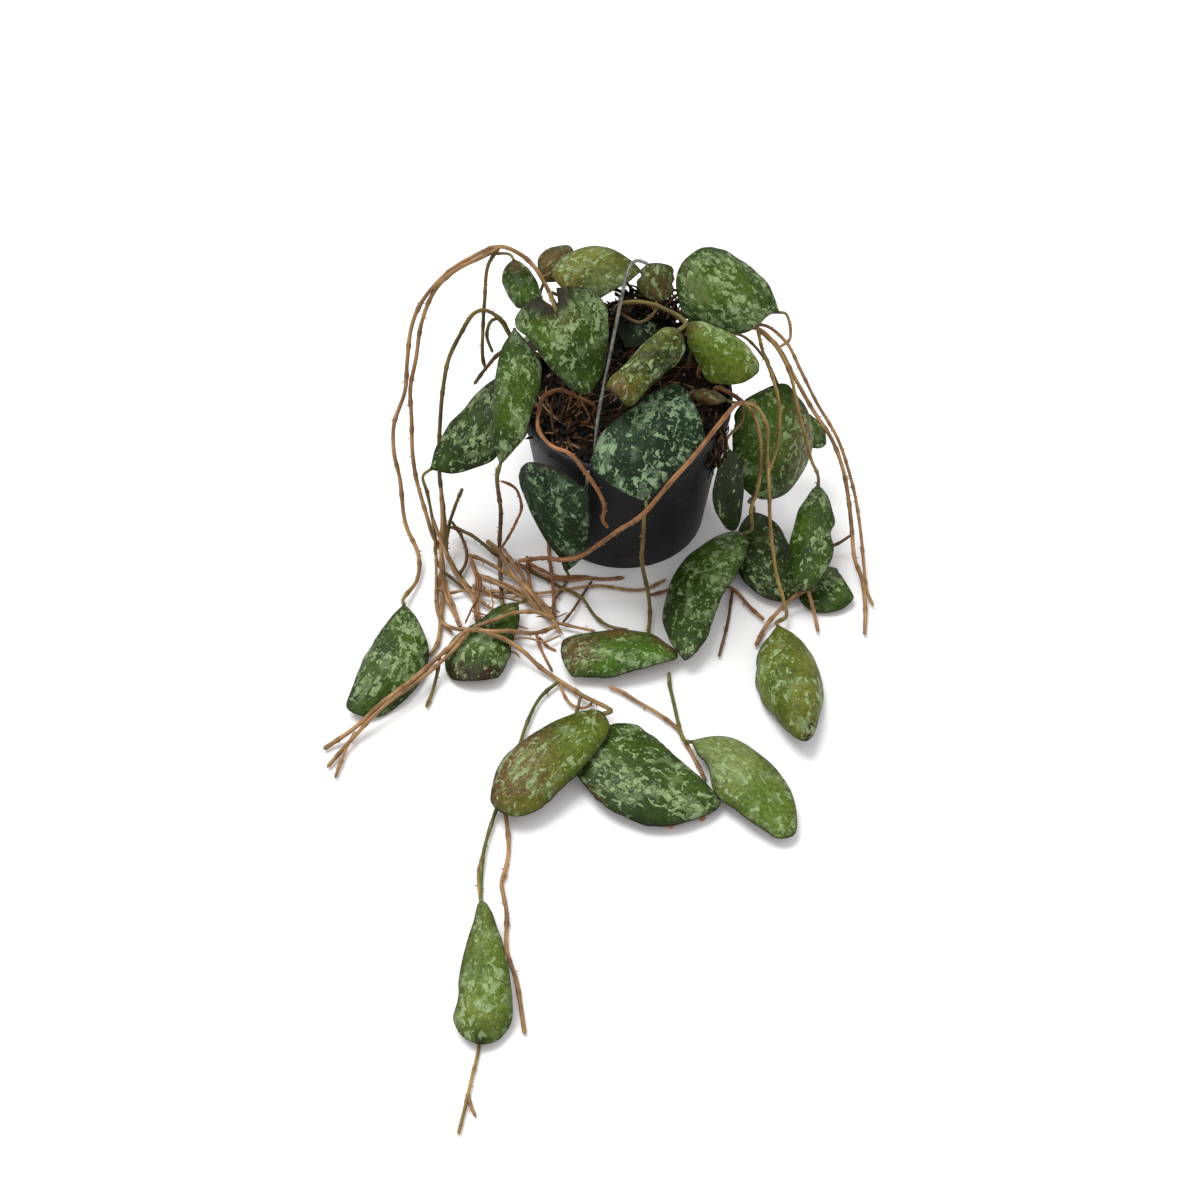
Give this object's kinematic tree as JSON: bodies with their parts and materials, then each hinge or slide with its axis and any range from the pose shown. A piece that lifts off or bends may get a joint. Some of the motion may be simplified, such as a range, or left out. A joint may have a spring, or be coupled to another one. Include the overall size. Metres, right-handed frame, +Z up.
{
  "type": "potted plant",
  "caption": "Potted shingle plant: domed, silver-mottled leaves on thin vines crowd over a round black pot with a bent wire handle and trail out over the surface in front.",
  "frame": {"origin": "centre of the pot's base, where it stands", "axes": "+Z up; the vines trail towards -Y, and +X is to their right as seen from there"},
  "size_m": [0.3079, 0.4928, 0.169],
  "materials": {
    "pot": "satin",
    "soil": "matte",
    "wire": "satin",
    "leaf": "satin",
    "dry_leaf": "matte",
    "stem": "satin"
  },
  "bodies": {
    "root": {"pot": "pot", "soil": "soil", "wire_handle": "wire", "leaf_left_roll": "leaf", "leaf_crown": "leaf", "leaf_crown_front": "leaf", "leaf_left_hanging": "leaf", "leaf_left_outer": "leaf", "leaf_pot_front": "leaf", "leaf_crown_brown": "leaf", "leaf_roll_left": "leaf", "leaf_roll_right": "leaf", "leaf_crown_right": "leaf", "leaf_crown_back": "leaf", "leaf_inner": "leaf", "leaf_front": "leaf", "leaf_scrap": "dry_leaf", "leaf_right_hanging": "leaf", "leaf_right_back": "leaf", "leaf_right_low": "leaf", "leaf_right_dark": "leaf", "leaf_right_notched": "leaf", "leaf_right_lowest": "leaf", "leaf_banana": "leaf", "leaf_middle": "leaf", "leaf_low_left": "leaf", "leaf_folded": "leaf", "leaf_teardrop": "leaf", "leaf_floor_left": "leaf", "leaf_floor_middle": "leaf", "leaf_floor_right": "leaf", "leaf_lowest": "leaf", "leaf_back_left": "leaf", "leaf_back_middle": "leaf", "leaf_back_right": "leaf", "stem_left": "stem", "stem_front": "stem", "stem_right": "stem", "stem_loop": "stem", "stem_crown": "stem", "stem_back": "stem", "stem_back_right": "stem", "stem_floor": "stem"}
  },
  "joints": []
}
